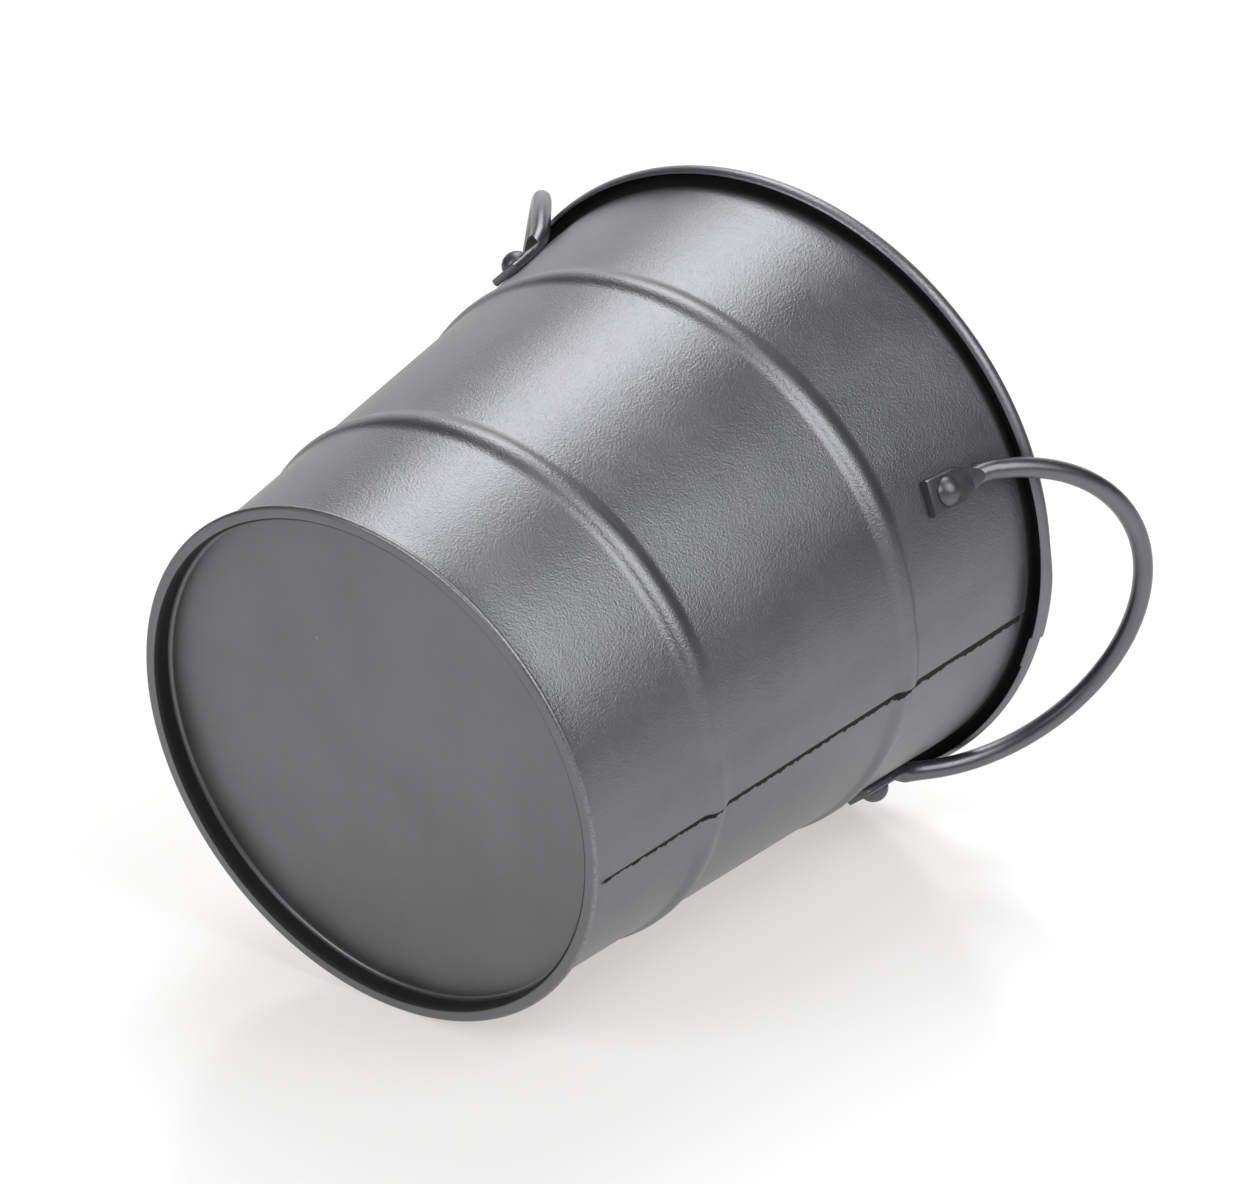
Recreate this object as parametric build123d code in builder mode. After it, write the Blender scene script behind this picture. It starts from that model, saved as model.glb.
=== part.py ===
"""Small tapered steel pail with two fixed wire handles, in millimetres.

The pail stands on its base ring at Z = 0 with its mouth up and its axis on Z.
The handles are on +X and -X, and the lap seam of the wall is beside the +X handle.
Every piece is cold formed from sheet or wire:
- the body is one rolled sheet with a foot flange, two swaged beads and a curled rim;
- the bottom pan is a pressed disc whose edge is clinched round the foot flange;
- each handle is one bent wire whose ends are flattened and pierced;
- two domed rivets hold each handle, and are upset inside the wall.
"""

from build123d import *
import os
from math import acos, asin, cos, degrees, radians, sin, tan

os.makedirs("parts", exist_ok=True)

# ---- driving dimensions ----------------------------------------------------
sheet = 0.4                 # thickness of the body and of the bottom pan
coat_gap = 0.05             # play between pieces that lie on each other

base_radius = 50.0          # outside of the clinched base ring
ring_overhang = 1.9         # of the base ring beyond the wall, produced down to Z = 0
wall_taper = 6.63           # lean of the wall from the axis, degrees
curl_height = 121.6         # centre of the rim curl
curl_diameter = 3.7         # outside of the rim curl
curl_turn = 235.0           # how far the curl is rolled, degrees

lower_bead_height = 32.5    # middle of the lower swaged bead
upper_bead_drop = 37.3      # from the rim curl down to the middle of the upper bead
bead_width = 7.4            # along the wall
bead_rise = 0.85            # proud of the wall

seam_angle = -4.4           # outer edge of the lap, degrees from +X
lap_width = 5.0             # overlap of the two ends of the sheet
lap_bottom = 3.0
lap_top_gap = 0.75          # from the top of the lap up to the underside of the curl

clinch_cover = 0.75         # reach of the clinched edge back over the flange
foot_bend = 0.25            # where the wall turns out into its flange
pan_recess = 4.2            # underside of the bottom above the base ring
pan_corner = 0.7            # where the bottom turns down

wire_diameter = 3.8         # handle wire
loop_radius = 36.5          # bend of the handle, at the middle of the wire
loop_leg = 1.5              # straight leg below the bend
loop_lean = 34.8            # lean of the handle out from the axis, degrees
loop_foot_drop = 9.1        # from the rim curl down to the start of the legs
loop_foot_gap = 1.0         # between the wire and the wall at the start of the legs

rivet_drop = 21.1           # from the rim curl down to the rivets
rivet_splay = 1.275         # of each rivet beyond its leg, degrees round the pail
tab_width = 7.0             # flattened end of the wire
tab_thickness = 1.6
tab_below = 4.6             # from the rivet down to the clipped end
tab_above = 4.4             # from the rivet up to the neck
tab_edge = 0.6              # rounding of the tab's long edges
neck_width = 5.2            # half way from the tab to the round wire
neck_thickness = 2.3
neck_roundness = 0.96       # of the neck's edges half way, where 1 is a full round
wire_roundness = 0.98       # of the neck where it meets the round wire

shank_diameter = 3.0
shank_play = 0.05           # radial, in the wall and in the tab
head_diameter = 5.6
head_height = 2.0
tail_diameter = 4.8
tail_height = 0.9
tail_edge = 0.3

# ---- values worked out from the driving dimensions --------------------------
lean = radians(wall_taper)
wall_foot_radius = base_radius - ring_overhang
wire_radius = 0.5 * wire_diameter
hole_radius = 0.5 * shank_diameter + shank_play

bead_heights = (lower_bead_height, curl_height - upper_bead_drop)
bead_half = 0.5 * bead_width
bead_arc = (bead_half**2 + bead_rise**2) / (4 * bead_rise)
bead_swing = acos(1 - 0.5 * bead_rise / bead_arc)   # turn of each arc of a bead

clinch_height = 3 * sheet + 2 * coat_gap
clinch_radius = 0.5 * clinch_height
clinch_middle = base_radius - clinch_radius
flange_top = 2 * sheet + coat_gap


def wall_radius(height):
    """Outer face of the wall at a height."""
    return wall_foot_radius + tan(lean) * height


def on_wall(height, along=0.0, out=0.0):
    """Profile point on the wall's outer face, moved up along it and outwards from it."""
    x = wall_radius(height) + along * sin(lean) + out * cos(lean)
    z = height + along * cos(lean) - out * sin(lean)
    return (x, z)


def beside_wall(height, out):
    """Profile point at a height, on the line that lies out from the wall's outer face."""
    return (wall_radius(height) + out / cos(lean), height)


def round_point(centre, radius):
    """Where an arc about centre meets a line parallel to the wall, on the centre's inner side."""
    return (centre[0] - radius * cos(lean), centre[1] + radius * sin(lean))


# ---- body -------------------------------------------------------------------
foot_centre = beside_wall(flange_top + foot_bend, foot_bend)
curl_face = 0.5 * curl_diameter - sheet     # the wall's outer face, seen from inside the curl
curl_centre = beside_wall(curl_height, curl_face)


def bead(height, out):
    """Three tangent arcs of one bead, on a face that lies out from the wall's outer face."""
    reach = 0.5 * bead_half + out * sin(bead_swing)
    rise = 0.5 * bead_rise + out * cos(bead_swing)
    start = on_wall(height, -bead_half, out)
    end = on_wall(height, bead_half, out)
    foot = TangentArc(start, on_wall(height, -reach, rise), tangent=(sin(lean), cos(lean)))
    crest = TangentArc(foot @ 1, on_wall(height, reach, rise), tangent=foot % 1)
    TangentArc(crest @ 1, end, tangent=crest % 1)
    return start, end


def beaded_wall(first, last, out):
    """The line of the wall from first to last, through both beads."""
    place = first
    for height in bead_heights:
        start, end = bead(height, out)
        Line(place, start)
        place = end
    Line(place, last)


def body_face(out):
    """One face of the body sheet, from the flange tip to the end of the curl."""
    foot_radius = foot_bend - out
    roll_radius = curl_face - out
    low = foot_centre[1] - foot_radius
    flange = Line((clinch_middle, low), (foot_centre[0], low))
    foot = TangentArc(flange @ 1, round_point(foot_centre, foot_radius), tangent=flange % 1)
    beaded_wall(foot @ 1, round_point(curl_centre, roll_radius), out)
    curl = CenterArc(curl_centre, roll_radius, 180 - wall_taper, -curl_turn)
    return flange @ 0, curl @ 1


with BuildPart() as body:
    with BuildSketch(Plane.XZ):
        with BuildLine():
            outer_tip, outer_end = body_face(0)
            inner_tip, inner_end = body_face(-sheet)
            Line(outer_tip, inner_tip)
            Line(outer_end, inner_end)
        make_face()
    revolve(axis=Axis.Z)

    # the outer end of the rolled sheet lies over the inner one and is soldered to it
    lap_top = curl_height - 0.5 * curl_diameter - lap_top_gap
    lap_angle = degrees(lap_width / wall_radius(0.5 * lap_top))
    with BuildSketch(Plane.XZ.rotated((0, 0, seam_angle))):
        with BuildLine():
            for out in (0, sheet):
                beaded_wall(on_wall(lap_bottom, out=out), on_wall(lap_top, out=out), out)
            for height in (lap_bottom, lap_top):
                Line(on_wall(height), on_wall(height, out=sheet))
        make_face()
    revolve(axis=Axis.Z, revolution_arc=-lap_angle)

# ---- bottom pan -------------------------------------------------------------
pan_out = -(2 * sheet + coat_gap)           # visible face of the recess wall
pan_foot_radius = foot_bend - pan_out
corner_centre = beside_wall(pan_recess - pan_corner, pan_out - pan_corner)


def pan_face(out):
    """One face of the pan sheet, from the axis to the end of the clinched edge."""
    corner_radius = pan_corner + out
    corner_end = (
        corner_centre[0] + corner_radius * cos(lean),
        corner_centre[1] - corner_radius * sin(lean),
    )
    foot_radius = pan_foot_radius - out
    fold_radius = clinch_radius - out
    floor = Line((0, pan_recess + out), (corner_centre[0], pan_recess + out))
    corner = TangentArc(floor @ 1, corner_end, tangent=floor % 1)
    recess = Line(corner @ 1, round_point(foot_centre, foot_radius))
    foot = TangentArc(recess @ 1, (foot_centre[0], out), tangent=recess % 1)
    ring = Line(foot @ 1, (clinch_middle, out))
    fold = CenterArc((clinch_middle, clinch_radius), fold_radius, -90, 180)
    edge = Line(fold @ 1, (clinch_middle - clinch_cover, clinch_height - out))
    return floor @ 0, edge @ 1


with BuildPart() as pan:
    with BuildSketch(Plane.XZ):
        with BuildLine():
            under_middle, under_edge = pan_face(0)
            upper_middle, upper_edge = pan_face(sheet)
            Line(under_middle, upper_middle)
            Line(under_edge, upper_edge)
        make_face()
    revolve(axis=Axis.Z)

# ---- rivet seats --------------------------------------------------------------
rivet_height = curl_height - rivet_drop
loop_foot_height = curl_height - loop_foot_drop
leg_out = wall_radius(loop_foot_height) + wire_radius + loop_foot_gap
rivet_angle = degrees(asin(loop_radius / leg_out)) + rivet_splay
cutter_length = 4 * tab_thickness            # of the rivet holes, through wall and tab

handle_turns = {"right": 0, "left": 180}
rivet_angles = {
    "right_front": -rivet_angle,
    "right_back": rivet_angle,
    "left_front": 180 + rivet_angle,
    "left_back": 180 - rivet_angle,
}


def seat_plane(angle):
    """Plane on the wall's outer face at a rivet: its x runs round the wall, its y up it."""
    place = radians(angle)
    radius = wall_radius(rivet_height)
    return Plane(
        origin=(radius * cos(place), radius * sin(place), rivet_height),
        x_dir=(-sin(place), cos(place), 0),
        z_dir=(cos(place) * cos(lean), sin(place) * cos(lean), -sin(lean)),
    )


def section_plane(origin, side, normal):
    """Plane across a wire or a rivet, with its x as near to side as it can be."""
    across = side - normal * side.dot(normal)
    return Plane(origin=origin, x_dir=across, z_dir=normal)


with body:
    for angle in rivet_angles.values():
        with Locations(seat_plane(angle)):
            Cylinder(hole_radius, cutter_length, mode=Mode.SUBTRACT)

# ---- handles --------------------------------------------------------------------
tilt = radians(loop_lean)
loop_plane = Plane(
    origin=((leg_out**2 - loop_radius**2) ** 0.5, 0, loop_foot_height),
    x_dir=(0, 1, 0),
    z_dir=(cos(tilt), 0, -sin(tilt)),
)
leg_foot = loop_plane.from_local_coords(Vector(loop_radius, 0, 0))

# the tab lies flat on the wall and points at the foot of its leg
seat = seat_plane(rivet_angle)
to_leg = seat.to_local_coords(leg_foot)
tab_up = (seat.x_dir * to_leg.X + seat.y_dir * to_leg.Y).normalized()
tab_plane = Plane(origin=seat.origin, x_dir=tab_up.cross(seat.z_dir), z_dir=seat.z_dir)
tab_middle = coat_gap + 0.5 * tab_thickness
tab_end = tab_plane.from_local_coords(Vector(0, -tab_below, tab_middle))
neck_start = tab_plane.from_local_coords(Vector(0, tab_above, tab_middle))

with BuildPart() as handle:
    with BuildLine(loop_plane):
        leg = Line((loop_radius, 0), (loop_radius, loop_leg))
        CenterArc((0, loop_leg), loop_radius, 0, 90)
    with BuildSketch(Plane(origin=leg @ 0, z_dir=leg % 0)):
        Circle(wire_radius)
    sweep()

    with BuildSketch(section_plane(tab_end, tab_plane.x_dir, tab_plane.y_dir)):
        RectangleRounded(tab_width, tab_thickness, tab_edge)
    extrude(amount=tab_below + tab_above)

    with BuildLine() as neck_line:
        Spline(neck_start, leg_foot, tangents=(tab_plane.y_dir, leg % 0))
    neck = neck_line.line
    with BuildSketch(section_plane(neck @ 0, tab_plane.x_dir, neck % 0)):
        RectangleRounded(tab_width, tab_thickness, tab_edge)
    with BuildSketch(section_plane(neck @ 0.5, tab_plane.x_dir, neck % 0.5)):
        RectangleRounded(neck_width, neck_thickness, 0.5 * neck_thickness * neck_roundness)
    with BuildSketch(section_plane(neck @ 1, tab_plane.x_dir, neck % 1)):
        RectangleRounded(wire_diameter, wire_diameter, wire_radius * wire_roundness)
    loft()

    with Locations(tab_plane):
        Cylinder(hole_radius, cutter_length, mode=Mode.SUBTRACT)
    mirror(about=Plane.XZ)

# ---- rivets ---------------------------------------------------------------------
# the flat faces of head and tail bear on round surfaces, so the tail stands off by its sagitta
inner_radius = wall_radius(rivet_height) - sheet
tail_radius = 0.5 * tail_diameter
tail_sagitta = inner_radius - (inner_radius**2 - tail_radius**2) ** 0.5
tail_seat = -(sheet + tail_sagitta + coat_gap)
tail_end = tail_seat - tail_height
head_seat = tab_thickness + 2 * coat_gap
head_radius = 0.5 * head_diameter
head_arc = (head_radius**2 + head_height**2) / (2 * head_height)
shank_radius = 0.5 * shank_diameter

rivets = {}
for place, angle in rivet_angles.items():
    seat = seat_plane(angle)
    with BuildPart() as rivet:
        with BuildSketch(section_plane(seat.origin, seat.x_dir, -seat.y_dir)):
            with BuildLine():
                Line((0, tail_end), (0, head_seat + head_height))
                RadiusArc((0, head_seat + head_height), (head_radius, head_seat), head_arc)
                Polyline(
                    (head_radius, head_seat),
                    (shank_radius, head_seat),
                    (shank_radius, tail_seat),
                    (tail_radius, tail_seat),
                    (tail_radius, tail_end + tail_edge),
                    (tail_radius - tail_edge, tail_end),
                    (0, tail_end),
                )
            make_face()
        revolve(axis=Axis(seat.origin, seat.z_dir))
    rivet.part.label = "rivet_" + place
    rivets[place] = rivet

# ---- finished pieces --------------------------------------------------------------
body.part.label = "pail_body"
export_step(body.part, "parts/pail_body.step")

pan.part.label = "bottom_pan"
export_step(pan.part, "parts/bottom_pan.step")

for place, turn in handle_turns.items():
    with BuildPart() as placed_handle:
        add(handle.part.rotate(Axis.Z, turn))
    placed_handle.part.label = "handle_" + place
    export_step(placed_handle.part, "parts/handle_" + place + ".step")

for place, rivet in rivets.items():
    export_step(rivet.part, "parts/rivet_" + place + ".step")
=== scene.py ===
"""Looks of the small tapered steel pail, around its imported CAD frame.

Every piece is shaped with Blender's own modelling operators, in metres, at its place in
the frame: the pail stands on its base ring at Z = 0 with its mouth up.
"""

from math import acos, asin, atan2, cos, degrees, hypot, pi, radians, sin, sqrt, tan

import bmesh
import bpy
from mathutils import Matrix, Vector


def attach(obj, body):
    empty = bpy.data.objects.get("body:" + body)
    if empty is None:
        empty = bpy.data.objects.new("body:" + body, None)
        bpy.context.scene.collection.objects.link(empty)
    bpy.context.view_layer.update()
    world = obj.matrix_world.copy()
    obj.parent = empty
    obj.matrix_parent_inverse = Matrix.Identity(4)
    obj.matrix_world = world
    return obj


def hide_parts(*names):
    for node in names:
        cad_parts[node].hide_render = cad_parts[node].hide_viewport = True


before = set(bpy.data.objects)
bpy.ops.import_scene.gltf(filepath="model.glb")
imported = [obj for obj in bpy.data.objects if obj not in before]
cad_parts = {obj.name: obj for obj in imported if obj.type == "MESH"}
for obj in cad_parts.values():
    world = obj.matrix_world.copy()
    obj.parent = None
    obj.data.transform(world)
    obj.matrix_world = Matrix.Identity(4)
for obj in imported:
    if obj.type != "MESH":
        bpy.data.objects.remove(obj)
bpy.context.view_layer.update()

mm = 0.001

# ---- sizes of the pail, millimetres -------------------------------------------
sheet = 0.4
coat_gap = 0.05
base_radius = 50.0
ring_overhang = 1.9
wall_taper = 6.63
curl_height = 121.6
curl_diameter = 3.7
curl_turn = 235.0
lower_bead_height = 32.5
upper_bead_drop = 37.3
bead_width = 7.4
bead_rise = 0.85
seam_angle = -4.4           # of the outer end of the sheet, degrees from +X
lap_low, lap_high = 5.0, 119.2      # where the two ends of the sheet lie on each other
lap_turn = 4.9              # degrees that the inner end runs on under the outer one
lap_relax = 8.5             # degrees in which the outer end comes back to the round
curl_overrun = 4.7          # degrees that the curl's end reaches past the seam
curl_tongue = 12.0          # degrees that the inner end's corner is rolled further
tongue_end = 12.4           # degrees past the seam where that corner is cut off
bead_gape = 0.4             # how far the outer end stands open on a bead, in sheet steps
clinch_cover = 0.75
foot_bend = 0.25
pan_recess = 4.2
pan_corner = 0.7
pan_bend = 0.9              # face of the fold from the recess to the ring
wire_diameter = 3.8
loop_radius = 36.5
loop_leg = 1.5
loop_lean = 34.8
loop_foot_drop = 9.1
loop_foot_gap = 1.0
rivet_drop = 21.1
rivet_splay = 1.275
tab_width = 7.0
tab_thickness = 1.6
tab_below = 4.6
shank_diameter = 3.0
head_diameter = 5.6
head_height = 2.0
tail_diameter = 4.8
tail_height = 0.9

lean = radians(wall_taper)
wall_foot_radius = base_radius - ring_overhang
wire_radius = 0.5 * wire_diameter
clinch_radius = 0.5 * (3 * sheet + 2 * coat_gap)
clinch_middle = base_radius - clinch_radius
flange_top = 2 * sheet + coat_gap
bead_heights = (lower_bead_height, curl_height - upper_bead_drop)
bead_half = 0.5 * bead_width
bead_arc = (bead_half**2 + bead_rise**2) / (4 * bead_rise)
bead_swing = acos(1 - 0.5 * bead_rise / bead_arc)
rivet_height = curl_height - rivet_drop
loop_foot_height = curl_height - loop_foot_drop


def wall_radius(height):
    """Outer face of the wall at a height."""
    return wall_foot_radius + tan(lean) * height


# ---- drawing profile lines --------------------------------------------------------
def on_wall(height, along=0.0, out=0.0):
    """Profile point off the wall's outer face, moved up along it and outwards from it."""
    x = wall_radius(height) + along * sin(lean) + out * cos(lean)
    z = height + along * cos(lean) - out * sin(lean)
    return (x, z)


def beside_wall(height, out):
    """Profile point straight out from the wall at a height, as far off its face as out."""
    return (wall_radius(height) + out / cos(lean), height)


def on_circle(centre, radius, angle):
    a = radians(angle)
    return (centre[0] + radius * cos(a), centre[1] + radius * sin(a))


def arc(centre, radius, start, turn, parts):
    """Points of an arc after its first one, angles in degrees."""
    return [on_circle(centre, radius, start + turn * i / parts) for i in range(1, parts + 1)]


def straight(first, last, longest):
    """Points of a straight line after its first one, no further apart than longest."""
    run, rise = last[0] - first[0], last[1] - first[1]
    parts = max(1, round(hypot(run, rise) / longest))
    return [(first[0] + run * i / parts, first[1] + rise * i / parts) for i in range(1, parts + 1)]


def bead(height):
    """Points of one swaged bead: a foot, a crest and a foot, each a tangent arc."""
    swing = degrees(bead_swing)
    out = 180 - wall_taper          # direction from the face into the pail
    parts = 8
    low_foot = on_wall(height, -bead_half, bead_arc)
    crest = on_wall(height, 0, bead_rise - bead_arc)
    high_foot = on_wall(height, bead_half, bead_arc)
    points = arc(low_foot, bead_arc, out, -swing, parts)
    points += arc(crest, bead_arc, out - 180 - swing, 2 * swing, 2 * parts)
    points += arc(high_foot, bead_arc, out + swing, -swing, parts)
    return points


# ---- modelling helpers ------------------------------------------------------------
sharp_angle = 35.0          # degrees past which an edge is shaded sharp


def deselect():
    bpy.ops.object.select_all(action="DESELECT")


def close_edit():
    bpy.ops.object.mode_set(mode="OBJECT")


def choose(piece):
    """Makes the piece the only one selected, out of edit mode."""
    if bpy.context.object is not None and bpy.context.object.mode != "OBJECT":
        close_edit()
    deselect()
    piece.select_set(True)
    bpy.context.view_layer.objects.active = piece


def edit(piece):
    """Opens the piece, and nothing else, in edit mode."""
    choose(piece)
    bpy.ops.object.mode_set(mode="EDIT")


def pick_all():
    bpy.ops.mesh.select_all(action="SELECT")


def pick(piece, test, kind="VERT", keep=False):
    """Selects the corners or faces whose place passes the test, among those chosen if keep."""
    bpy.ops.mesh.select_mode(type=kind)
    mesh = bmesh.from_edit_mesh(piece.data)
    for item in mesh.verts if kind == "VERT" else mesh.faces:
        place = item.co if kind == "VERT" else item.calc_center_median()
        item.select_set(test(place / mm) and (item.select or not keep))
    mesh.select_flush_mode()
    bmesh.update_edit_mesh(piece.data)


def drawn_line(points):
    """A chain of edges in the XZ plane, drawn by extruding one corner from point to point."""
    deselect()
    bpy.ops.mesh.primitive_plane_add(size=mm)
    piece = bpy.context.object
    edit(piece)
    bpy.ops.mesh.select_mode(type="VERT")
    pick_all()
    bpy.ops.mesh.merge(type="CENTER")
    x, z = points[0]
    bpy.ops.transform.translate(value=(x * mm, 0, z * mm))
    for nx, nz in points[1:]:
        bpy.ops.mesh.extrude_vertices_move(
            TRANSFORM_OT_translate={"value": ((nx - x) * mm, 0, (nz - z) * mm)}
        )
        x, z = nx, nz
    return piece


def spin(turn, steps, centre=(0, 0, 0), axis=(0, 0, 1)):
    """Sweeps what is selected about an axis, in degrees, right-handed; its end stays selected."""
    # the operator turns left-handed
    bpy.ops.mesh.spin(
        steps=steps, angle=-radians(turn), center=Vector(centre) * mm, axis=axis,
        use_auto_merge=False,
    )


def modify(piece, kind, **settings):
    """Adds a modifier with its settings and applies it."""
    choose(piece)
    modifier = piece.modifiers.new(kind.lower(), kind)
    for name, value in settings.items():
        setattr(modifier, name, value)
    bpy.ops.object.modifier_apply(modifier=modifier.name)


def soften(piece, width, segments, angle):
    """Rounds the edges that turn by more than an angle in degrees."""
    modify(
        piece, "BEVEL", width=width * mm, segments=segments, limit_method="ANGLE",
        angle_limit=radians(angle),
    )


def merge_doubles(piece):
    edit(piece)
    pick_all()
    bpy.ops.mesh.remove_doubles(threshold=0.001 * mm)


def outwards(piece):
    """Merges doubles and turns every face outwards; the piece is closed."""
    merge_doubles(piece)
    bpy.ops.mesh.normals_make_consistent(inside=False)
    close_edit()


def face_along(piece, nearness, side):
    """Turns an open sheet so that the face with the least nearness looks to the wanted side."""
    edit(piece)
    pick_all()
    bpy.ops.mesh.normals_make_consistent(inside=False)
    mesh = bmesh.from_edit_mesh(piece.data)
    face = min(mesh.faces, key=lambda f: nearness(f.calc_center_median()))
    if face.normal.dot(side(face.calc_center_median())) < 0:
        bpy.ops.mesh.flip_normals()
    close_edit()


def settle(piece, place=None):
    """Puts the object at its place, and moves that place into its mesh."""
    choose(piece)
    if place is not None:
        piece.matrix_world = place
    bpy.ops.object.transform_apply(location=True, rotation=True, scale=True)


def smooth(piece):
    choose(piece)
    bpy.ops.object.shade_smooth_by_angle(angle=radians(sharp_angle))


def twin(piece, name, place):
    """A copy with its own mesh, turned or moved to another place."""
    copy = piece.copy()
    copy.data = piece.data.copy()
    copy.name = name
    bpy.context.collection.objects.link(copy)
    settle(copy, place)
    return copy


def ease(value, start, end):
    """Rises smoothly from 0 at start to 1 at end."""
    share = min(1.0, max(0.0, (value - start) / (end - start)))
    return share * share * (3 - 2 * share)


# ---- body -----------------------------------------------------------------------
foot_centre = beside_wall(flange_top + foot_bend, foot_bend)
curl_face = 0.5 * curl_diameter - sheet
curl_centre = beside_wall(curl_height, curl_face)
wall_side = 180 - wall_taper
curl_foot = curl_height - 0.5 * curl_diameter
wall_pitch = 5.0            # longest step of the wall's line
lap_fade = 0.8              # height in which the lap's lift ends, above lap_high
lap_rise = 1.8              # height in which the lap's lift starts, below lap_low
gape_turns = (0.5, 4.0)     # degrees from the seam in which a bead's gape closes
roll_from, roll_full = 25, 80       # degrees round the curl over which it is drawn in
overrun_from = 30           # degrees round the curl from which its end runs on
curl_slack = 10             # degrees past the curl's end that still count as on it
blank_turn, blank_steps = 20, 20    # first part of the sheet, drawn finely for the lap
rest_turn, rest_steps = 360 - blank_turn, 272       # and the rest of the round


def body_line():
    """Outer face of the sheet, from the flange tip to the end of the curl."""
    points = [(clinch_middle, flange_top), (foot_centre[0], flange_top)]
    points += arc(foot_centre, foot_bend, -90, -90 - wall_taper, 5)
    for height in bead_heights:
        points += straight(points[-1], on_wall(height, -bead_half), wall_pitch)
        points += bead(height)
    roll_start = on_circle(curl_centre, curl_face, wall_side)
    points += straight(points[-1], on_wall(lap_high), wall_pitch)
    points += straight(points[-1], roll_start, lap_fade)
    points += arc(curl_centre, curl_face, wall_side, -curl_turn, 24)
    return points


def curl_roll(place):
    """Degrees rolled round the curl, for a corner of the sheet; below 0 on the wall."""
    x, z = hypot(place.x, place.y) - curl_centre[0], place.z - curl_centre[1]
    if z < 0 and x < 0 and place.z < curl_foot:
        return -1.0
    if hypot(x, z) > curl_face + 0.05:
        return -1.0
    rolled = (wall_side - degrees(atan2(z, x))) % 360
    return rolled if rolled < curl_turn + curl_slack else 0.0


def make_body():
    """The wall sheet, rolled up so that its outer end laps over its inner one, then curled."""
    body = drawn_line(body_line())
    pick_all()
    spin(-blank_turn, blank_steps)
    close_edit()
    lap = body.vertex_groups.new(name="lap")
    roll = body.vertex_groups.new(name="roll")
    for corner in body.data.vertices:
        place = corner.co / mm
        turn = abs(degrees(atan2(place.y, place.x)))
        share = 1 - ease(turn, lap_turn + 0.2, lap_turn + lap_relax)
        rolled = curl_roll(place)
        on_curl = rolled >= 0
        up = ease(place.z, lap_low - lap_rise, lap_low)
        up *= 1 - ease(place.z, lap_high, lap_high + lap_fade)
        gape = max(1 - abs(place.z - h) / bead_half for h in bead_heights)
        gape = bead_gape * ease(gape, 0.1, 0.9) * (1 - ease(turn, *gape_turns))
        lift = 0 if on_curl else (share * up + gape) / (1 + bead_gape)
        lap.add([corner.index], lift, "REPLACE")
        inset = share * ease(rolled, roll_from, roll_full) if on_curl else 0
        roll.add([corner.index], inset, "REPLACE")

    # the outer end's curl runs on past the seam
    edit(body)
    pick(body, lambda p: abs(p.y) < 0.001 and curl_roll(p) >= overrun_from)
    spin(curl_overrun, 4)

    # the rest of the round, and the inner end on under the outer one
    blank_end = -radians(blank_turn)
    pick(body, lambda p: abs(atan2(p.y, p.x) - blank_end) < radians(0.1))
    spin(-rest_turn, rest_steps)
    pick(body, lambda p: lap_low <= p.z <= lap_high + 0.1, keep=True)
    spin(-lap_turn, 4)

    # the inner end's corner is rolled further
    first, last = radians(curl_overrun + 0.1), radians(tongue_end)
    pick(body, lambda p: abs(curl_roll(p) - curl_turn) < 2 and first < atan2(p.y, p.x) < last)
    middle = Matrix.Rotation(0.5 * (first + last), 3, "Z")
    spin(
        -curl_tongue, 2, middle @ Vector((curl_centre[0], 0, curl_centre[1])),
        middle @ Vector((0, -1, 0)),
    )
    close_edit()
    half_way = 0.5 * curl_height * mm
    face_along(body, lambda p: abs(p.z - half_way), lambda p: Vector((p.x, p.y, 0)))
    step = (sheet + coat_gap) * mm
    modify(body, "DISPLACE", vertex_group="lap", mid_level=0, strength=step * (1 + bead_gape))
    modify(body, "DISPLACE", vertex_group="roll", mid_level=0, strength=-step)
    modify(body, "SOLIDIFY", thickness=sheet * mm, offset=-1, use_even_offset=False)
    soften(body, 0.11, 2, 60)
    body.vertex_groups.clear()
    settle(body, Matrix.Rotation(radians(seam_angle), 4, "Z"))
    return body


# ---- bottom pan -------------------------------------------------------------------
def make_pan():
    """The bottom, pressed to a recess, turned out under the flange and clinched over it."""
    pan_out = -(2 * sheet + coat_gap)
    bend_centre = beside_wall(pan_bend, pan_out + pan_bend)
    corner = beside_wall(pan_recess - pan_corner, pan_out - pan_corner)
    points = [(0, pan_recess)]
    points += straight(points[-1], (corner[0], pan_recess), 4.0)
    points += arc(corner, pan_corner, 90, -90 - wall_taper, 8)
    recess_end = on_circle(bend_centre, pan_bend, wall_side)
    points += straight(points[-1], recess_end, 1.2)
    points += arc(bend_centre, pan_bend, wall_side, 90 + wall_taper, 8)
    points += straight(points[-1], (clinch_middle, 0), 0.4)
    points += arc((clinch_middle, clinch_radius), clinch_radius, -90, 180, 14)
    points += [(clinch_middle - clinch_cover, 2 * clinch_radius)]
    pan = drawn_line(points)
    pick_all()
    spin(360, 256)
    merge_doubles(pan)
    face_along(pan, lambda p: p.xy.length, lambda p: Vector((0, 0, -1)))
    modify(pan, "SOLIDIFY", thickness=sheet * mm, offset=-1, use_even_offset=True)
    soften(pan, 0.1, 2, 60)
    return pan


# ---- rivet seats --------------------------------------------------------------------
leg_out = wall_radius(loop_foot_height) + wire_radius + loop_foot_gap
rivet_angle = degrees(asin(loop_radius / leg_out)) + rivet_splay


def axes_at(origin, x_dir, y_dir, z_dir):
    """The place whose axes are given, with its origin in millimetres."""
    turn = Matrix((x_dir, y_dir, z_dir)).transposed().to_4x4()
    return Matrix.Translation(Vector(origin) * mm) @ turn


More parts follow.
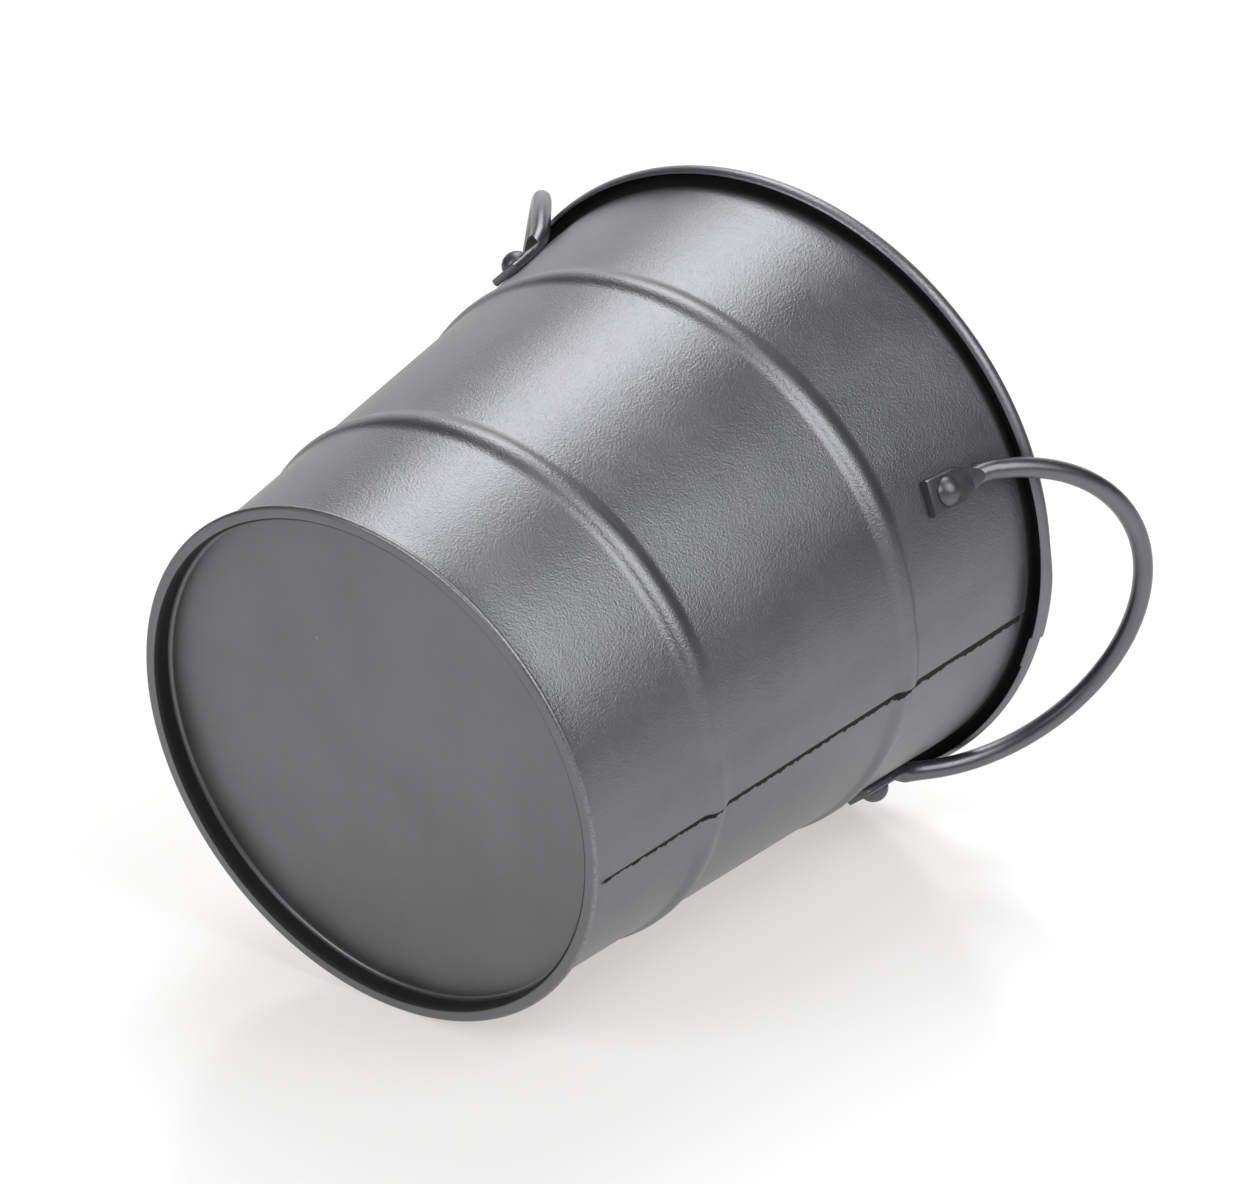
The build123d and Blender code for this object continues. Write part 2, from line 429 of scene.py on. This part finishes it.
def seat_at(angle):
    """Place of a rivet on the wall's outer face: x round the wall, y up it, z outwards."""
    a = radians(angle)
    radius = wall_radius(rivet_height)
    out = Vector((cos(a) * cos(lean), sin(a) * cos(lean), -sin(lean)))
    side = Vector((-sin(a), cos(a), 0))
    return axes_at((radius * cos(a), radius * sin(a), rivet_height), side, out.cross(side), out)


# ---- handles ----------------------------------------------------------------------------
tab_middle = coat_gap + 0.5 * tab_thickness
spade_end = 3.6             # where the pressed flat starts to narrow, up from the rivet
ramp_foot = 6.9             # where the flat meets the ramp up to the round wire
ramp_slope = 50.0           # degrees
press_length = 23.0         # of each press tool behind the rivet
press_top, press_bottom = 9.0, -6.0     # of the tools, off the wall
lower_reach = 30.0          # of the lower tool up from the rivet, under leg and bend


def bend(start, start_dir, end):
    """Centre, axis and turn of the arc that leaves start along start_dir and reaches end."""
    chord = end - start
    axis = start_dir.cross(chord).normalized()
    inwards = axis.cross(start_dir)
    radius = chord.length_squared / (2 * chord.dot(inwards))
    turn = 2 * asin(min(1.0, chord.length / (2 * radius)))
    return start + inwards * radius, axis, degrees(turn)


def make_handle():
    """Half a handle, from its pressed tab to the top of its bend, mirrored to the whole."""
    seat = seat_at(rivet_angle)
    tilt = radians(loop_lean)
    loop_out = sqrt(leg_out**2 - loop_radius**2)
    loop_side, loop_up = Vector((0, 1, 0)), Vector((sin(tilt), 0, cos(tilt)))
    loop_axis = loop_side.cross(loop_up)
    loop_centre = Vector((loop_out, 0, loop_foot_height))
    leg_foot = loop_centre + loop_side * loop_radius

    # the tab points at the foot of its leg
    to_leg = leg_foot - seat.translation / mm
    out = seat.to_3x3().col[2].copy()
    up = (to_leg - out * to_leg.dot(out)).normalized()
    tab = axes_at(seat.translation / mm, up.cross(out), up, out)
    home = tab.to_3x3().inverted()
    foot = home @ to_leg
    leg_dir = home @ loop_up
    bend_middle = home @ (loop_centre + loop_up * loop_leg - seat.translation / mm)
    bend_axis = home @ loop_axis

    # two tangent arcs carry the wire from the tab out to the leg
    start = Vector((0, spade_end, tab_middle))
    along = Vector((0, 1, 0))
    reach, both = foot - start, along + leg_dir
    a, b, c = 2 * (along.dot(leg_dir) - 1), -2 * reach.dot(both), reach.length_squared
    tangent = (-b - sqrt(b * b - 4 * a * c)) / (2 * a)
    if tangent < 0:
        tangent = (-b + sqrt(b * b - 4 * a * c)) / (2 * a)
    joint = (start + along * tangent + foot - leg_dir * tangent) / 2

    deselect()
    bpy.ops.mesh.primitive_circle_add(
        vertices=40, radius=wire_radius * mm, fill_type="NGON",
        location=(0, -tab_below * mm, tab_middle * mm), rotation=(pi / 2, 0, 0),
    )
    half = bpy.context.object
    settle(half)
    edit(half)
    pick_all()
    steps = 6
    for _ in range(steps):
        bpy.ops.mesh.extrude_region_move(
            TRANSFORM_OT_translate={"value": (0, (spade_end + tab_below) / steps * mm, 0)}
        )
    # the end is spread to the width of the tab
    pick_all()
    bpy.ops.transform.resize(value=(tab_width / wire_diameter, 1, 1), center_override=(0, 0, 0))
    pick(half, lambda p: p.y > spade_end - 0.01)
    centre, axis, turn = bend(start, along, joint)
    parts = 8
    narrow = (wire_diameter / tab_width) ** (1 / parts)
    for i in range(parts):
        spin(turn / parts, 1, centre, axis)
        bent = Matrix.Rotation(radians(turn * (i + 1) / parts), 3, axis)
        bpy.ops.transform.resize(
            value=(narrow, 1, 1), center_override=(centre + bent @ (start - centre)) * mm,
            orient_type="GLOBAL", orient_matrix_type="GLOBAL", orient_matrix=bent,
        )
    centre, axis, turn = bend(joint, (joint - (start + along * tangent)).normalized(), foot)
    spin(turn, 8, centre, axis)
    bpy.ops.mesh.extrude_region_move(
        TRANSFORM_OT_translate={"value": leg_dir * loop_leg * mm}
    )
    spin(90, 36, bend_middle, bend_axis)
    outwards(half)

    # the press: one tool under the tab, and one over it that ends in a ramp
    cutters = []
    lower = (press_bottom, coat_gap, lower_reach)
    upper = (coat_gap + tab_thickness, press_top, ramp_foot)
    for low, high, reach in (lower, upper):
        deselect()
        bpy.ops.mesh.primitive_cube_add(size=1)
        tool = bpy.context.object
        tool.scale = (20 * mm, (reach + press_length) * mm, (high - low) * mm)
        tool.location = (0, 0.5 * (reach - press_length) * mm, 0.5 * (low + high) * mm)
        settle(tool)
        if low > 0:
            edit(tool)
            pick(tool, lambda p: p.z > high - 0.01 and p.y > 0)
            slant = (high - low) / tan(radians(ramp_slope))
            bpy.ops.transform.translate(value=(0, slant * mm, 0))
            close_edit()
        cutters.append(tool)
    deselect()
    bpy.ops.mesh.primitive_cylinder_add(
        vertices=32, radius=(0.5 * shank_diameter + coat_gap) * mm, depth=8 * mm
    )
    cutters.append(bpy.context.object)
    for tool in cutters:
        modify(half, "BOOLEAN", object=tool, operation="DIFFERENCE", solver="EXACT")
        bpy.data.objects.remove(tool)
    settle(half, tab)
    edit(half)
    pick(half, lambda p: abs(p.y) < 0.01, kind="FACE")
    bpy.ops.mesh.delete(type="FACE")
    close_edit()
    modify(
        half, "MIRROR", use_axis=(False, True, False), use_clip=False, merge_threshold=0.02 * mm
    )
    outwards(half)
    soften(half, 0.16, 3, 28)
    return half


# ---- rivets -------------------------------------------------------------------------------
def make_rivet():
    """Domed head over the tab, shank through tab and wall, and the upset tail inside."""
    head_radius, tail_radius = 0.5 * head_diameter, 0.5 * tail_diameter
    shank_radius = 0.5 * shank_diameter
    head_seat = tab_thickness + 2 * coat_gap
    inner_radius = wall_radius(rivet_height) - sheet
    sagitta = inner_radius - sqrt(inner_radius**2 - tail_radius**2)
    tail_seat = -(sheet + sagitta + coat_gap)
    dome = (head_radius**2 + head_height**2) / (2 * head_height)
    swing = degrees(asin(head_radius / dome))
    dome_centre = (0, head_seat + head_height - dome)
    soft = 0.3                  # round of the tail's edge
    points = [on_circle(dome_centre, dome, 90)]
    points += arc(dome_centre, dome, 90, -swing, 12)
    points += [(shank_radius, head_seat), (shank_radius, tail_seat), (tail_radius, tail_seat)]
    points += [(tail_radius, tail_seat - tail_height + soft)]
    points += arc((tail_radius - soft, tail_seat - tail_height + soft), soft, 0, -90, 4)
    points += [(0, tail_seat - tail_height)]
    rivet = drawn_line(points)
    pick_all()
    spin(360, 48)
    outwards(rivet)
    soften(rivet, 0.15, 2, 50)
    return rivet


# ---- finishes -----------------------------------------------------------------------------
class Nodes:
    """A short hand for laying out a material's nodes."""

    def __init__(self, name):
        self.material = bpy.data.materials.new(name)
        self.material.use_nodes = True
        self.tree = self.material.node_tree
        self.tree.nodes.clear()

    def add(self, kind, **settings):
        node = self.tree.nodes.new("ShaderNode" + kind)
        for key, value in settings.items():
            if key in node.inputs:
                node.inputs[key].default_value = value
            else:
                setattr(node, key, value)
        return node

    def join(self, out, into):
        self.tree.links.new(out, into)

    def math(self, operation, first, second=None):
        node = self.add("Math", operation=operation)
        for socket, value in zip(node.inputs, (first, second)):
            if value is None:
                continue
            if isinstance(value, (int, float)):
                socket.default_value = value
            else:
                self.join(value, socket)
        return node.outputs[0]

    def times(self, first, second):
        return self.math("MULTIPLY", first, second)

    def plus(self, first, second):
        return self.math("ADD", first, second)

    def length(self, first, second):
        """Root of the sum of two squares."""
        return self.math("SQRT", self.plus(self.times(first, first), self.times(second, second)))

    def span(self, value, low, high, to_low=0.0, to_high=1.0):
        """Runs from one value to another while the first value runs from low to high."""
        limits = {"From Min": low, "From Max": high, "To Min": to_low, "To Max": to_high}
        node = self.add("MapRange", **limits)
        self.join(value, node.inputs["Value"])
        return node.outputs["Result"]

    def until(self, value, low, high):
        """Whole up to low, and nothing from high on."""
        return self.span(value, low, high, 1.0, 0.0)

    def parts(self, vector):
        node = self.add("SeparateXYZ")
        self.join(vector, node.inputs["Vector"])
        return [node.outputs[k] for k in "XYZ"]

    def blend(self, share, under, over):
        """Lays a colour over another one by a share."""
        node = self.add("MixRGB")
        self.join(share, node.inputs["Fac"])
        self.join(under, node.inputs["Color1"])
        node.inputs["Color2"].default_value = over
        return node.outputs["Color"]


def seam_line_and_shade(n, place, radius):
    """A dark joint line beside the outer end of the sheet, widened into painted shade of the lap's
    step.
    """
    x, y, z = n.parts(place)
    turn = n.math("ARCTAN2", y, x)
    beside = n.times(n.math("SUBTRACT", turn, radians(seam_angle)), radius)
    width = n.span(z, 10 * mm, 112 * mm, 1.15 * mm, 2.0 * mm)
    fray = n.add("Mapping")
    fray.inputs["Scale"].default_value = (0.2, 0.2, 1.0)
    n.join(place, fray.inputs["Vector"])
    breaks = n.add("TexNoise", Scale=650.0, Detail=2.0, Roughness=0.6)
    n.join(fray.outputs["Vector"], breaks.inputs["Vector"])
    ragged = n.span(breaks.outputs["Fac"], 0.3, 0.7, -0.45 * mm, 0.3 * mm)
    past = n.math("SUBTRACT", n.math("SUBTRACT", beside, width), ragged)
    # painted shade: dark beside the sheet's edge, wider than the joint itself
    line = n.times(n.span(beside, -0.32 * mm, -0.12 * mm), n.until(past, -0.12 * mm, 0.12 * mm))
    low_end = n.span(z, (lap_low - 1.5) * mm, lap_low * mm)
    high_end = n.until(z, (lap_high - 0.7) * mm, lap_high * mm)
    return n.times(line, n.times(low_end, high_end))


def painted_curl_shade(n, z, radius, facing_out, facing_up):
    """Painted shade: where the sheet looks at the middle of the curl, inside the channel that the
    roll shades.
    """
    off = n.math("SUBTRACT", radius, curl_centre[0] * mm)
    rise = n.math("SUBTRACT", z, curl_centre[1] * mm)
    away = n.length(off, rise)
    look = n.plus(n.times(off, facing_out), n.times(rise, facing_up))
    return n.times(n.until(look, -1.2 * mm, -0.7 * mm), n.until(away, 2.3 * mm, 3.7 * mm))


def painted_shade_on_body(n, place, radius, facing_out, facing_up):
    """Painted shade along the seam, in the curl's channel and on the line where the wall stands in
    the base ring.
    """
    z = n.parts(place)[2]
    # painted shade: a dark line on the wall's foot, where the base ring shades it
    foot = n.until(z, 1.75 * mm, 2.1 * mm)
    hollow_shade = n.math("MAXIMUM", painted_curl_shade(n, z, radius, facing_out, facing_up), foot)
    # painted shade along the seam, on the faces that look outwards
    line = n.times(seam_line_and_shade(n, place, radius), n.span(facing_out, -0.5, -0.3))
    return n.math("MAXIMUM", line, hollow_shade), None


def shade_and_wear_on_pan(n, place, radius, facing_out, facing_up):
    """Painted shade on the recess wall and the clinched edge; the ring's outer edge is lighter,
    partly wear and partly a painted highlight.
    """
    z = n.parts(place)[2]
    # painted shade on the recess wall and on the clinched edge
    inner_wall = n.span(facing_out, -0.55, -0.3, 0.85, 0.0)
    recess = n.times(inner_wall, n.until(z, 3.3 * mm, 3.6 * mm))
    clinch_edge = n.span(radius, (base_radius - 2.2) * mm, (base_radius - 2.0) * mm)
    clinch = n.times(n.span(facing_up, 0.5, 0.8), clinch_edge)
    # lighter outer edge of the ring: partly wear, partly a painted highlight
    ring_side = n.span(radius, (base_radius - 0.5) * mm, (base_radius - 0.25) * mm)
    ring_wear_and_highlight = n.times(ring_side, n.until(z, 0.9 * mm, 1.1 * mm))
    return n.math("MAXIMUM", recess, clinch), ring_wear_and_highlight


dust_colour = (0.42, 0.42, 0.42, 1)
# lighter grey of rubbed edges, also the painted highlight on the base ring's edge
wear_and_highlight_colour = (0.42, 0.42, 0.43, 1)
# near black of the painted shade
painted_shade_colour = (0.02, 0.02, 0.02, 1)


def powder_coat(name, colour, roughness, peel, shade_and_wear=None):
    """Satin coat with metal flake: orange peel, a faint mottle, dust nibs and rubbed edges; where
    masks are given, painted shade and a painted highlight too.
    """
    n = Nodes(name)
    coordinates = n.add("TexCoord")
    place, facing = coordinates.outputs["Object"], coordinates.outputs["Normal"]
    out = n.add("OutputMaterial")
    coat = n.add("BsdfPrincipled", IOR=1.5, Metallic=0.85)
    n.join(coat.outputs["BSDF"], out.inputs["Surface"])

    # ripple of the melted powder, its wider swell, patches of tone and nibs of dust
    ripple = n.add("TexNoise", Scale=2350.0, Detail=1.0, Roughness=0.5)
    grain = n.add("TexNoise", Scale=6100.0, Detail=0.0)
    swell = n.add("TexNoise", Scale=380.0, Detail=2.0, Roughness=0.5)
    mottle = n.add("TexNoise", Scale=60.0, Detail=3.0, Roughness=0.6)
    nibs = n.add("TexVoronoi", Scale=130.0, Randomness=1.0)
    for texture in (ripple, grain, swell, mottle, nibs):
        n.join(place, texture.inputs["Vector"])
    patch = n.span(swell.outputs["Fac"], 0.3, 0.7, 0.8, 1.2)
    height = n.times(ripple.outputs["Fac"], patch)
    height = n.plus(height, n.times(grain.outputs["Fac"], 0.3))
    height = n.plus(height, n.times(swell.outputs["Fac"], 0.12))

    # a few nibs stand out of the coat
    speck = n.until(nibs.outputs["Distance"], 0.02, 0.045)
    split = n.add("SeparateColor")
    n.join(nibs.outputs["Color"], split.inputs["Color"])
    speck = n.times(speck, n.math("GREATER_THAN", split.outputs["Red"], 0.94))
    height = n.plus(height, n.times(speck, 0.6))
    bump = n.add("Bump", Strength=1.0, Distance=peel * mm)
    n.join(height, bump.inputs["Height"])
    n.join(bump.outputs["Normal"], coat.inputs["Normal"])

    tone = n.add("ValToRGB")
    for stop, position, share in zip(tone.color_ramp.elements, (0.3, 0.72), (0.92, 1.08)):
        stop.position = position
        stop.color = (*[share * c for c in colour], 1)
    n.join(mottle.outputs["Fac"], tone.inputs["Fac"])
    paint = n.blend(n.times(speck, 0.4), tone.outputs["Color"], dust_colour)

    # sharp edges are rubbed here and there
    edge = n.span(n.add("NewGeometry").outputs["Pointiness"], 0.7, 0.85)
    edge_wear_and_highlight = n.times(edge, 0.3)
    if shade_and_wear is not None:
        x, y = n.parts(place)[:2]
        nx, ny, facing_up = n.parts(facing)
        radius = n.length(x, y)
        facing_out = n.math("DIVIDE", n.plus(n.times(x, nx), n.times(y, ny)), radius)
        painted_shade, ring_wear_and_highlight = shade_and_wear(n, place, radius, facing_out, facing_up)
        # on the pan the ring's edge is lightened too, partly wear and partly a painted highlight
        if ring_wear_and_highlight is not None:
            edge_wear_and_highlight = n.math("MAXIMUM", edge_wear_and_highlight, n.times(ring_wear_and_highlight, 0.3))
    edge_wear_and_highlight = n.times(edge_wear_and_highlight, n.span(ripple.outputs["Fac"], 0.35, 0.6))
    paint = n.blend(edge_wear_and_highlight, paint, wear_and_highlight_colour)
    # painted shade: near black where the masks lie
    if shade_and_wear is not None:
        paint = n.blend(n.times(painted_shade, 0.93), paint, painted_shade_colour)
    n.join(paint, coat.inputs["Base Color"])
    gloss = n.span(mottle.outputs["Fac"], 0.3, 0.7, roughness - 0.03, roughness + 0.03)
    if shade_and_wear is not None:
        gloss = n.plus(gloss, n.times(painted_shade, 0.45))
    n.join(n.math("SUBTRACT", gloss, n.times(edge_wear_and_highlight, 0.15)), coat.inputs["Roughness"])
    return n.material


# ---- the studio ------------------------------------------------------------------------------
lie_angle, lie_lean = radians(75.4), radians(7.33)  # direction from the pail to the floor
lie_depth = 49.6            # millimetres from the middle of the pail's base to the floor
floor_down = Vector(
    (cos(lie_angle) * cos(lie_lean), sin(lie_angle) * cos(lie_lean), -sin(lie_lean))
)
camera_place = Vector((0.26301, -0.39700, -0.37293))        # metres
camera_turn = (147.800, -36.018, -9.675)            # degrees
camera_lens, camera_sensor = 101.8, 36.0
seen_grey, felt_grey = 0.93, 0.01   # of the studio's air, as the camera and as the pail see it
pail_middle = (0, 0, 60)
pail_foot = (0, 0, 0)
soft_boxes = (              # name, turn, rise, reach, width, height, power, aim
    ("back_box", 0, 58, 1.2, 0.6, 0.6, 7.0, pail_middle),
    ("top_box", 0, 87, 1.2, 0.6, 0.6, 1.4, pail_middle),
    ("low_backdrop", 0, 9, 1.5, 2.6, 0.45, 4.2, pail_middle),
    ("high_backdrop", 0, 25, 1.5, 2.6, 0.5, 4.7, pail_middle),
    ("front_left_box", 225, 32, 1.2, 0.6, 0.6, 6.2, pail_middle),
    ("front_right_box", 144, 58, 1.2, 0.6, 0.6, 2.8, pail_middle),
    ("base_side_box", 118, 38, 0.5, 0.35, 0.35, 1.3, pail_foot),
)


def make_camera():
    bpy.ops.object.camera_add(location=camera_place, rotation=[radians(a) for a in camera_turn])
    camera = bpy.context.object
    camera.data.sensor_width, camera.data.lens = camera_sensor, camera_lens
    camera.data.clip_start, camera.data.clip_end = 0.01, 20.0
    bpy.context.scene.camera = camera
    bpy.context.view_layer.update()
    return camera


def studio_axes(camera):
    """Right, away and up of the studio, on the floor that the pail lies on."""
    up = -floor_down
    sight = camera.matrix_world.to_3x3() @ Vector((0, 0, -1))
    away = (sight - up * sight.dot(up)).normalized()
    return away.cross(up), away, up


def make_floor(right, away, up):
    """A plain white floor, seen only from above."""
    deselect()
    bpy.ops.mesh.primitive_grid_add(x_subdivisions=8, y_subdivisions=8, size=4)
    floor = bpy.context.object
    floor.name = "floor"
    settle(floor, axes_at(floor_down * lie_depth, right, away, up))
    n = Nodes("white_floor")
    out = n.add("OutputMaterial")
    paint = n.add(
        "BsdfPrincipled",
        **{
            "Base Color": (0.5, 0.51, 0.525, 1), "Roughness": 0.2, "IOR": 1.45,
            "Emission Color": (1, 0.965, 0.93, 1), "Emission Strength": 0.49,
        },
    )
    clear = n.add("BsdfTransparent")
    mix = n.add("MixShader")
    n.join(n.add("NewGeometry").outputs["Backfacing"], mix.inputs["Fac"])
    n.join(paint.outputs["BSDF"], mix.inputs[1])
    n.join(clear.outputs["BSDF"], mix.inputs[2])
    n.join(mix.outputs["Shader"], out.inputs["Surface"])
    floor.data.materials.append(n.material)


def soft_box(axes, name, turn, rise, reach, width, height, power, aim):
    """A soft box turned to the pail: degrees right of straight away, degrees above the floor."""
    right, away, up = axes
    turn, rise, aim = radians(turn), radians(rise), Vector(aim) * mm
    out = away * cos(turn) * cos(rise) + right * sin(turn) * cos(rise) + up * sin(rise)
    level = up.cross(out).normalized()
    bpy.ops.object.light_add(type="AREA")
    light = bpy.context.object
    light.name = name
    light.data.shape = "RECTANGLE"
    light.data.size, light.data.size_y = width, height
    light.data.energy = power
    light.visible_camera = False
    light.matrix_world = axes_at((aim + out * reach) / mm, level, out.cross(level), out)


def make_world():
    """Pale to the camera, and nearly dark to the pail, which soft boxes and floor light."""
    world = bpy.data.worlds.new("studio")
    bpy.context.scene.world = world
    world.use_nodes = True
    tree = world.node_tree
    tree.nodes.clear()
    out = tree.nodes.new("ShaderNodeOutputWorld")
    path, mix = tree.nodes.new("ShaderNodeLightPath"), tree.nodes.new("ShaderNodeMixShader")
    tree.links.new(path.outputs["Is Camera Ray"], mix.inputs["Fac"])
    for socket, grey in ((1, felt_grey), (2, seen_grey)):
        background = tree.nodes.new("ShaderNodeBackground")
        background.inputs["Color"].default_value = (grey, grey, grey, 1)
        tree.links.new(background.outputs["Background"], mix.inputs[socket])
    tree.links.new(mix.outputs["Shader"], out.inputs["Surface"])


# ---- putting it together --------------------------------------------------------------------
def dress(piece, name, node, finish):
    """Names the piece, gives it its finish, and stands it in for its CAD node."""
    piece.name = name
    piece.data.materials.clear()
    piece.data.materials.append(finish)
    smooth(piece)
    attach(piece, "root")
    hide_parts(node)


body_finish = powder_coat("body_powder_coat", (0.185, 0.187, 0.198), 0.39, 0.068, painted_shade_on_body)
pan_finish = powder_coat("pan_powder_coat", (0.178, 0.18, 0.187), 0.45, 0.018, shade_and_wear_on_pan)
wire_finish = powder_coat("wire_powder_coat", (0.15, 0.152, 0.16), 0.34, 0.024)
rivet_finish = powder_coat("rivet_powder_coat", (0.12, 0.122, 0.13), 0.42, 0.024)

dress(make_body(), "body", "pail_body", body_finish)
dress(make_pan(), "bottom", "bottom_pan", pan_finish)
right_handle = make_handle()
left_handle = twin(right_handle, "left", Matrix.Rotation(pi, 4, "Z"))
dress(right_handle, "right_wire_handle", "handle_right", wire_finish)
dress(left_handle, "left_wire_handle", "handle_left", wire_finish)
rivet_angles = {
    "right_front": -rivet_angle,
    "right_back": rivet_angle,
    "left_front": 180 + rivet_angle,
    "left_back": 180 - rivet_angle,
}
master = make_rivet()
for place, angle in rivet_angles.items():
    # the rivet was drawn with its axis on Z, which is the seat's outward axis
    rivet = twin(master, place, seat_at(angle))
    dress(rivet, "domed_rivet_" + place, "rivet_" + place, rivet_finish)
bpy.data.objects.remove(master)

bpy.context.scene.view_settings.view_transform = "Standard"
axes = studio_axes(make_camera())
make_floor(*axes)
make_world()
for box in soft_boxes:
    soft_box(axes, *box)
